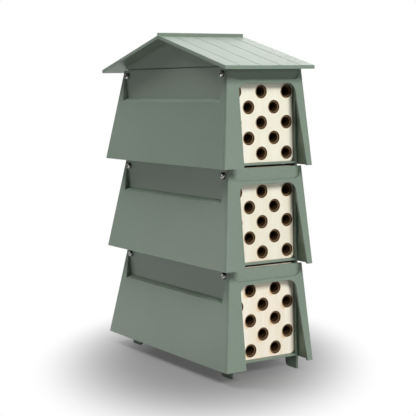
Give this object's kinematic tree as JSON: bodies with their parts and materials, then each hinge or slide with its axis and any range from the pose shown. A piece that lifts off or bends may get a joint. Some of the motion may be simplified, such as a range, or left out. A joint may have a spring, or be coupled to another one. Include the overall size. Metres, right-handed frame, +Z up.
{
  "type": "bee hotel",
  "caption": "Stacked bee hotel: flared plastic tiers with arched ends, plywood plates that hold cardboard nesting tubes, finger grips, and a pitched roof with a grooved top.",
  "frame": {"origin": "on the ground below the middle of the roof", "axes": "+Z up; +X towards the flat side that stands against a wall; the tube ends look along -Y and +Y"},
  "size_m": [0.083, 0.2018, 0.2734],
  "materials": {
    "shell": "satin sage green",
    "roof": "satin sage green",
    "plywood": "bare birch plywood",
    "cardboard": "brown kraft",
    "steel": "bright"
  },
  "bodies": {
    "bottom_shell": {"bottom_left_panel": "shell", "bottom_back_panel": "shell", "bottom_screws": "steel", "bottom_left_wall": "shell", "bottom_right_wall": "shell", "bottom_front_end_panel": "shell", "bottom_front_frame": "shell", "bottom_rear_end_panel": "shell", "bottom_rear_frame": "shell"},
    "bottom_nest": {"bottom_front_plate": "plywood", "bottom_rear_plate": "plywood", "bottom_tubes_row_1": "cardboard", "bottom_tubes_row_2": "cardboard", "bottom_tubes_row_3": "cardboard", "bottom_tubes_row_4": "cardboard", "bottom_tubes_row_5": "cardboard", "bottom_tubes_row_6": "cardboard"},
    "middle_shell": {"middle_left_panel": "shell", "middle_back_panel": "shell", "middle_screws": "steel", "middle_left_wall": "shell", "middle_right_wall": "shell", "middle_front_end_panel": "shell", "middle_front_frame": "shell", "middle_rear_end_panel": "shell", "middle_rear_frame": "shell"},
    "middle_nest": {"middle_front_plate": "plywood", "middle_rear_plate": "plywood", "middle_tubes_row_1": "cardboard", "middle_tubes_row_2": "cardboard", "middle_tubes_row_3": "cardboard", "middle_tubes_row_4": "cardboard", "middle_tubes_row_5": "cardboard", "middle_tubes_row_6": "cardboard"},
    "top_shell": {"top_left_panel": "shell", "top_back_panel": "shell", "top_screws": "steel", "top_left_wall": "shell", "top_right_wall": "shell", "top_front_end_panel": "shell", "top_front_frame": "shell", "top_rear_end_panel": "shell", "top_rear_frame": "shell"},
    "top_nest": {"top_front_plate": "plywood", "top_rear_plate": "plywood", "top_tubes_row_1": "cardboard", "top_tubes_row_2": "cardboard", "top_tubes_row_3": "cardboard", "top_tubes_row_4": "cardboard", "top_tubes_row_5": "cardboard", "top_tubes_row_6": "cardboard"},
    "roof": {"roof_front_half": "roof", "roof_rear_half": "roof", "ridge_rib": "roof"}
  },
  "joints": [
    {"name": "bottom_nest_lift", "type": "slide", "parent": "bottom_shell", "child": "bottom_nest", "axis": [0, 0, 1], "range_m": [0, 0.085]},
    {"name": "middle_tier_lift", "type": "slide", "parent": "bottom_nest", "child": "middle_shell", "axis": [0, 0, 1], "range_m": [0, 0.05]},
    {"name": "middle_nest_lift", "type": "slide", "parent": "middle_shell", "child": "middle_nest", "axis": [0, 0, 1], "range_m": [0, 0.085]},
    {"name": "top_tier_lift", "type": "slide", "parent": "middle_nest", "child": "top_shell", "axis": [0, 0, 1], "range_m": [0, 0.05]},
    {"name": "top_nest_lift", "type": "slide", "parent": "top_shell", "child": "top_nest", "axis": [0, 0, 1], "range_m": [0, 0.085]},
    {"name": "roof_lift", "type": "slide", "parent": "top_nest", "child": "roof", "axis": [0, 0, 1], "range_m": [0, 0.06]}
  ]
}
